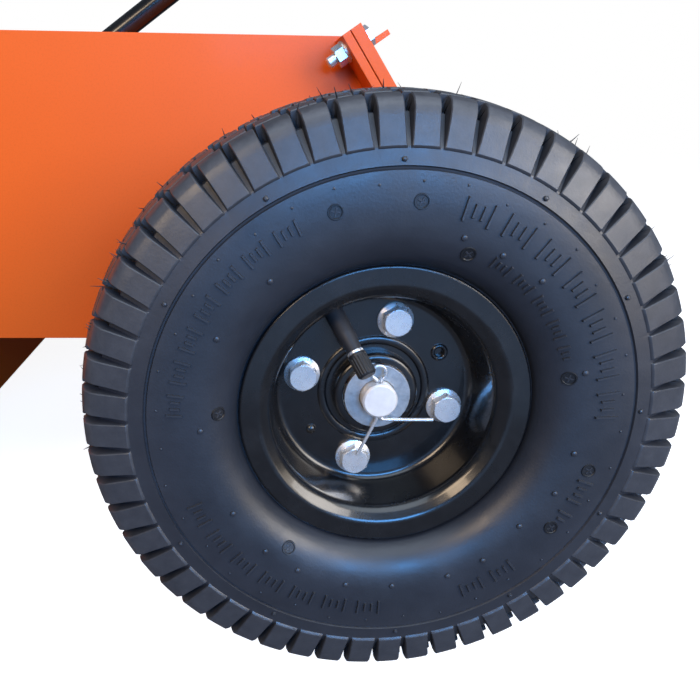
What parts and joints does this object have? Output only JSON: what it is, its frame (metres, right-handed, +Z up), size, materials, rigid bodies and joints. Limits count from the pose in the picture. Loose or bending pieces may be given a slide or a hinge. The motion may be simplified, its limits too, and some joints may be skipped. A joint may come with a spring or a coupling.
{
  "type": "brush mower",
  "caption": "Walk-behind brush mower: orange steel deck with a blade under its engine, pneumatic rear wheels on a dead axle, front casters and a folding handlebar.",
  "frame": {"origin": "on the ground, midway along the machine's length, on its centre plane", "axes": "+X forward, +Y to the operator's left, +Z up"},
  "size_m": [1.73, 0.82, 1.0483],
  "materials": {
    "orange_paint": "satin gloss orange powder coat",
    "black_paint": "gloss black powder coat",
    "zinc_plate": "bright blue zinc plating",
    "machined_steel": "turned bright steel",
    "tyre_rubber": "satin moulded rubber, a little dusty on the tread",
    "soft_rubber": "matte soft rubber",
    "black_plastic": "fine-grained black plastic",
    "cast_aluminium": "cast grey aluminium",
    "cowl_paint": "semi-gloss black paint",
    "muffler_steel": "dull aluminised steel",
    "plug_ceramic": "glazed white ceramic"
  },
  "bodies": {
    "chassis": {"side_plate_left": "orange_paint", "side_plate_right": "orange_paint", "rear_wall": "orange_paint", "deck_top": "orange_paint", "skid_shoes": "black_paint", "front_hinge_rod": "zinc_plate", "caster_frame": "orange_paint", "axle_tube": "black_paint", "axle_rod": "machined_steel", "axle_washers": "zinc_plate", "cotter_pins": "zinc_plate", "seam_bolts": "zinc_plate", "seam_nuts": "zinc_plate", "crankcase": "cast_aluminium", "cylinder": "cast_aluminium", "head_cover": "cast_aluminium", "spark_plug": "plug_ceramic", "blower_housing": "cowl_paint", "fuel_tank": "black_plastic", "carburetor": "cast_aluminium", "air_filter": "black_plastic", "muffler": "muffler_steel", "engine_bolts": "zinc_plate", "lower_handle": "black_paint", "handle_bolts": "zinc_plate"},
    "wheel_left": {"tyre_left": "tyre_rubber", "inner_tube_left": "soft_rubber", "rim_outer_left": "black_paint", "rim_inner_left": "black_paint", "rim_bolts_left": "zinc_plate", "wheel_bearings_left": "machined_steel", "valve_stem_left": "soft_rubber", "valve_cap_left": "black_plastic"},
    "wheel_right": {"tyre_right": "tyre_rubber", "inner_tube_right": "soft_rubber", "rim_outer_right": "black_paint", "rim_inner_right": "black_paint", "rim_bolts_right": "zinc_plate", "wheel_bearings_right": "machined_steel", "valve_stem_right": "soft_rubber", "valve_cap_right": "black_plastic"},
    "caster_left": {"caster_fork_left": "orange_paint"},
    "caster_wheel_left": {"caster_rim_left": "black_paint", "caster_tyre_left": "tyre_rubber"},
    "caster_right": {"caster_fork_right": "orange_paint"},
    "caster_wheel_right": {"caster_rim_right": "black_paint", "caster_tyre_right": "tyre_rubber"},
    "rotor": {"crankshaft": "machined_steel", "flywheel": "cast_aluminium", "blade_hub": "machined_steel", "blade": "machined_steel"},
    "guard": {"front_guard": "orange_paint"},
    "starter_grip": {"recoil_handle": "black_plastic"},
    "cap": {"fuel_cap": "black_plastic"},
    "handle": {"upper_handle": "black_paint", "grips": "soft_rubber"},
    "knob_left": {"fold_knob_left": "black_plastic"},
    "knob_right": {"fold_knob_right": "black_plastic"},
    "bail": {"bail_lever": "zinc_plate"},
    "throttle": {"throttle_lever": "zinc_plate"}
  },
  "joints": [
    {"name": "wheel_spin_left", "type": "hinge", "parent": "chassis", "child": "wheel_left", "pos_m": [-0.1, 0.37, 0.133], "axis": [0, 1, 0], "continuous": true},
    {"name": "wheel_spin_right", "type": "hinge", "parent": "chassis", "child": "wheel_right", "pos_m": [-0.1, -0.37, 0.133], "axis": [0, 1, 0], "continuous": true},
    {"name": "caster_swivel_left", "type": "hinge", "parent": "chassis", "child": "caster_left", "pos_m": [0.82, 0.215, 0.24], "axis": [0, 0, 1], "continuous": true},
    {"name": "caster_spin_left", "type": "hinge", "parent": "caster_left", "child": "caster_wheel_left", "pos_m": [0.78, 0.215, 0.085], "axis": [0, 1, 0], "continuous": true},
    {"name": "caster_swivel_right", "type": "hinge", "parent": "chassis", "child": "caster_right", "pos_m": [0.82, -0.215, 0.24], "axis": [0, 0, 1], "continuous": true},
    {"name": "caster_spin_right", "type": "hinge", "parent": "caster_right", "child": "caster_wheel_right", "pos_m": [0.78, -0.215, 0.085], "axis": [0, 1, 0], "continuous": true},
    {"name": "blade_spin", "type": "hinge", "parent": "chassis", "child": "rotor", "pos_m": [0.38, 0, 0.2], "axis": [0, 0, 1], "continuous": true},
    {"name": "guard_swing", "type": "hinge", "parent": "chassis", "child": "guard", "pos_m": [0.622, 0, 0.225], "axis": [0, -1, 0], "range_deg": [0, 78]},
    {"name": "starter_pull", "type": "slide", "parent": "chassis", "child": "starter_grip", "axis": [-1, 0, 0], "range_m": [0, 0.5], "stiffness_N_per_m": 20},
    {"name": "fuel_cap_turn", "type": "hinge", "parent": "chassis", "child": "cap", "pos_m": [0.38, 0.1615, 0.412], "axis": [0, 0, 1], "range_deg": [0, 120]},
    {"name": "handle_fold", "type": "hinge", "parent": "chassis", "child": "handle", "pos_m": [-0.24, 0, 0.61021], "axis": [0, 1, 0], "range_deg": [0, 140]},
    {"name": "knob_turn_left", "type": "hinge", "parent": "chassis", "child": "knob_left", "pos_m": [-0.24, 0.222, 0.61021], "axis": [0, 1, 0], "range_deg": [0, 360]},
    {"name": "knob_turn_right", "type": "hinge", "parent": "chassis", "child": "knob_right", "pos_m": [-0.24, -0.222, 0.61021], "axis": [0, -1, 0], "range_deg": [0, 360]},
    {"name": "bail_press", "type": "hinge", "parent": "handle", "child": "bail", "pos_m": [-0.69, 0, 0.966], "axis": [0, -1, 0], "range_deg": [0, 14], "stiffness_Nm_per_rad": 2.5, "springref_deg": -17.19},
    {"name": "throttle_move", "type": "hinge", "parent": "handle", "child": "throttle", "pos_m": [-0.57, -0.1946, 0.84997], "axis": [0, 1, 0], "range_deg": [0, 45]}
  ]
}
